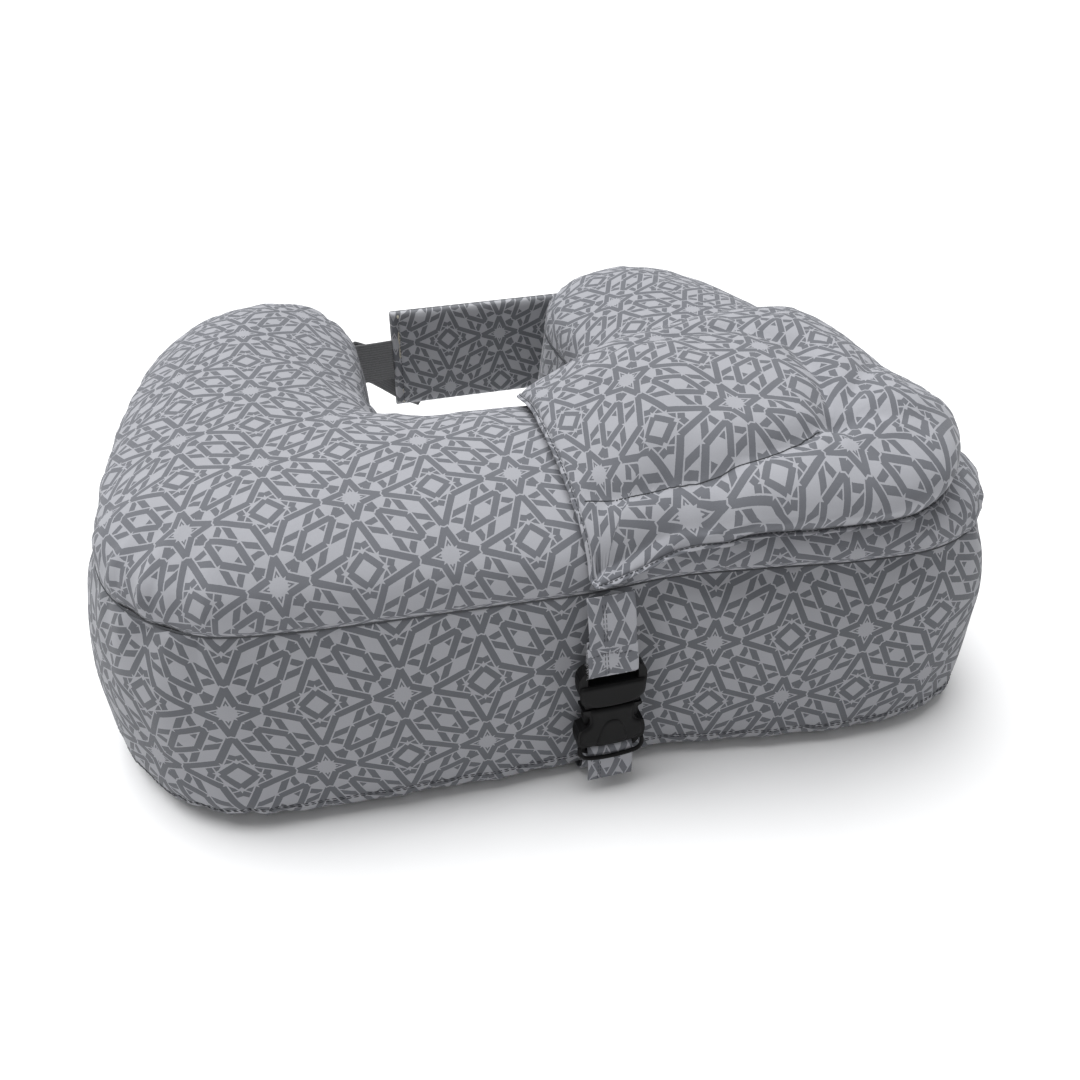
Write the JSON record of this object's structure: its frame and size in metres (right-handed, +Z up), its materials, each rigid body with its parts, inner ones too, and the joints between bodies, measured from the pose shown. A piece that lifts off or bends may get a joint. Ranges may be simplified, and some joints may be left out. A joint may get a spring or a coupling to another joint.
{
  "type": "nursing pillow",
  "caption": "U-shaped boxed nursing cushion with a buckled padded back panel across its open side and a small tufted head pillow belted over the front bar.",
  "frame": {"origin": "centre of the bounding box on the floor that the cushion lies on", "axes": "+Z up, +Y towards the open back of the U, +X towards the user's end with the head pillow"},
  "size_m": [0.574, 0.4656, 0.231],
  "materials": {
    "printed_cotton": "matt woven cotton with a two-grey geometric strapwork print",
    "lining_cloth": "plain undyed lining",
    "fibre_filling": "soft polyester fibre",
    "foam": "open-cell foam",
    "grey_webbing": "ribbed polyester webbing",
    "black_acetal": "satin moulded plastic",
    "zip_tape": "woven tape",
    "zip_nylon": "nylon coil",
    "zip_metal": "zinc slider, satin"
  },
  "bodies": {
    "cushion": {"main_top_panel": "printed_cotton", "main_side_band": "printed_cotton", "main_bottom_panel": "printed_cotton", "lining_upper": "lining_cloth", "lining_lower": "lining_cloth", "main_fill": "fibre_filling", "zip_tape_left": "zip_tape", "zip_tape_right": "zip_tape", "zip_coil": "zip_nylon", "waist_anchor_tab": "grey_webbing", "waist_buckle_socket": "black_acetal", "back_panel_anchor": "printed_cotton", "belt_under_bar": "printed_cotton", "front_buckle_socket": "black_acetal"},
    "zip_runner": {"zip_slider": "zip_metal"},
    "head_pillow": {"head_pillow_top_cover": "printed_cotton", "head_pillow_bottom_cover": "printed_cotton", "head_pillow_fill": "fibre_filling", "head_pillow_tack": "printed_cotton", "head_strap": "printed_cotton", "front_buckle_plug": "black_acetal"},
    "front_left_prong": {"front_prong_left": "black_acetal"},
    "front_right_prong": {"front_prong_right": "black_acetal"},
    "back_panel": {"back_panel_inner_cover": "printed_cotton", "back_panel_outer_cover": "printed_cotton", "back_panel_foam": "foam", "waist_webbing": "grey_webbing"},
    "waist_plug": {"waist_buckle_plug": "black_acetal", "waist_webbing_tail": "grey_webbing"},
    "waist_upper_prong": {"waist_prong_upper": "black_acetal"},
    "waist_lower_prong": {"waist_prong_lower": "black_acetal"}
  },
  "joints": [
    {"name": "head_pillow_lift", "type": "slide", "parent": "cushion", "child": "head_pillow", "axis": [0, 0, 1], "range_m": [0, 0.12], "deforming": ["front_prong_left", "front_prong_right"]},
    {"name": "front_prong_left_squeeze", "type": "hinge", "parent": "head_pillow", "child": "front_left_prong", "pos_m": [-0.0034, -0.22216, 0.0686], "axis": [0, -1, 0], "range_deg": [0, 8], "stiffness_Nm_per_rad": 0.05},
    {"name": "front_prong_right_squeeze", "type": "hinge", "parent": "head_pillow", "child": "front_right_prong", "pos_m": [0.0204, -0.22216, 0.0686], "axis": [0, 1, 0], "range_deg": [0, 8], "stiffness_Nm_per_rad": 0.05},
    {"name": "back_panel_swing", "type": "hinge", "parent": "cushion", "child": "back_panel", "pos_m": [0.1455, 0.21834, 0.091], "axis": [0, 0, -1], "range_deg": [0, 90]},
    {"name": "waist_buckle_release", "type": "slide", "parent": "back_panel", "child": "waist_plug", "axis": [1, 0, 0], "range_m": [0, 0.028], "deforming": ["waist_webbing", "waist_prong_upper", "waist_prong_lower"]},
    {"name": "waist_prong_upper_squeeze", "type": "hinge", "parent": "waist_plug", "child": "waist_upper_prong", "pos_m": [-0.11539, 0.22384, 0.10576], "axis": [0, -1, 0], "range_deg": [0, 8], "stiffness_Nm_per_rad": 0.05},
    {"name": "waist_prong_lower_squeeze", "type": "hinge", "parent": "waist_plug", "child": "waist_lower_prong", "pos_m": [-0.11539, 0.22384, 0.07624], "axis": [0, 1, 0], "range_deg": [0, 8], "stiffness_Nm_per_rad": 0.05},
    {"name": "zip_open", "type": "slide", "parent": "cushion", "child": "zip_runner", "axis": [0, 1, 0], "range_m": [0, 0.245], "deforming": ["zip_coil"]}
  ],
  "couplings": [
    {"joint": "front_prong_right_squeeze", "follows": "front_prong_left_squeeze", "ratio": 1},
    {"joint": "waist_prong_lower_squeeze", "follows": "waist_prong_upper_squeeze", "ratio": 1}
  ]
}
